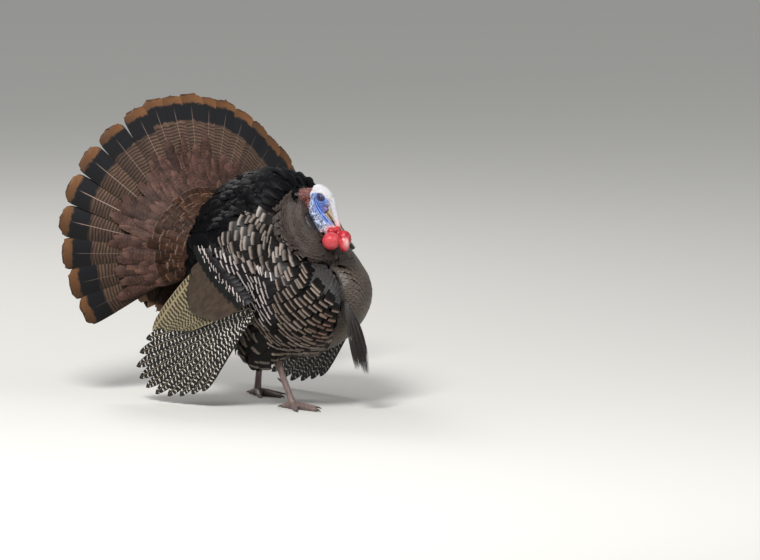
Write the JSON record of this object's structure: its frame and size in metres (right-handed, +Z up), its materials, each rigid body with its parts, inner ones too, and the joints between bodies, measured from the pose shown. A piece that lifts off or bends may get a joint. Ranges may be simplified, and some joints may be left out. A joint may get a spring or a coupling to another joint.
{
  "type": "wild turkey",
  "caption": "Life-size still model of a male wild turkey in full strut, standing on its own feet, with fanned tail and drooped wings.",
  "frame": {"origin": "middle of the bounding box's base, on the floor under the bird", "axes": "the bird faces -Y, +X is its left side, +Z is up"},
  "size_m": [0.712, 0.8014, 0.7757],
  "materials": {
    "dark_feathers": "glossy black body feathers with a bronze sheen",
    "barred_feathers": "black feathers barred with bronze grey",
    "ruff_feathers": "dense grey-brown neck feathers",
    "tail_feathers": "brown barred tail feathers with a black band and a buff tip",
    "covert_feathers": "rufous-brown tail coverts with coppery edges",
    "wing_feathers": "barred wing feathers with pale edges",
    "bare_skin": "bare warty skin, white to blue and red",
    "wattle": "moist swollen red skin",
    "bill_horn": "satin horn",
    "eye": "wet dark brown eye",
    "leg_scales": "scaled pinkish grey skin",
    "claw_horn": "dark horn",
    "beard_bristles": "coarse black bristles"
  },
  "bodies": {
    "root": {"beard": "beard_bristles", "bill_lower": "bill_horn", "bill_upper": "bill_horn", "caruncle_left": "wattle", "caruncle_middle": "wattle", "caruncle_right": "wattle", "claw_left_hind": "claw_horn", "claw_left_inner": "claw_horn", "claw_left_middle": "claw_horn", "claw_left_outer": "claw_horn", "claw_right_hind": "claw_horn", "claw_right_inner": "claw_horn", "claw_right_middle": "claw_horn", "claw_right_outer": "claw_horn", "eye_left": "eye", "eye_right": "eye", "foot_left": "leg_scales", "foot_right": "leg_scales", "head": "bare_skin", "neck_ruff": "ruff_feathers", "neck_throat": "bare_skin", "shank_left": "leg_scales", "shank_right": "leg_scales", "shoulder_left": "wing_feathers", "shoulder_right": "wing_feathers", "snood": "wattle", "spur_left": "claw_horn", "spur_right": "claw_horn", "tail_coverts_lower": "covert_feathers", "tail_coverts_upper": "covert_feathers", "tail_fan": "tail_feathers", "thigh_left": "dark_feathers", "thigh_right": "dark_feathers", "trunk_back": "dark_feathers", "trunk_belly": "dark_feathers", "trunk_breast_left": "barred_feathers", "trunk_breast_right": "barred_feathers", "trunk_rump": "covert_feathers", "wing_left_arm": "wing_feathers", "wing_left_coverts": "wing_feathers", "wing_left_primaries": "wing_feathers", "wing_left_secondaries": "wing_feathers", "wing_right_arm": "wing_feathers", "wing_right_coverts": "wing_feathers", "wing_right_primaries": "wing_feathers", "wing_right_secondaries": "wing_feathers"}
  },
  "joints": []
}
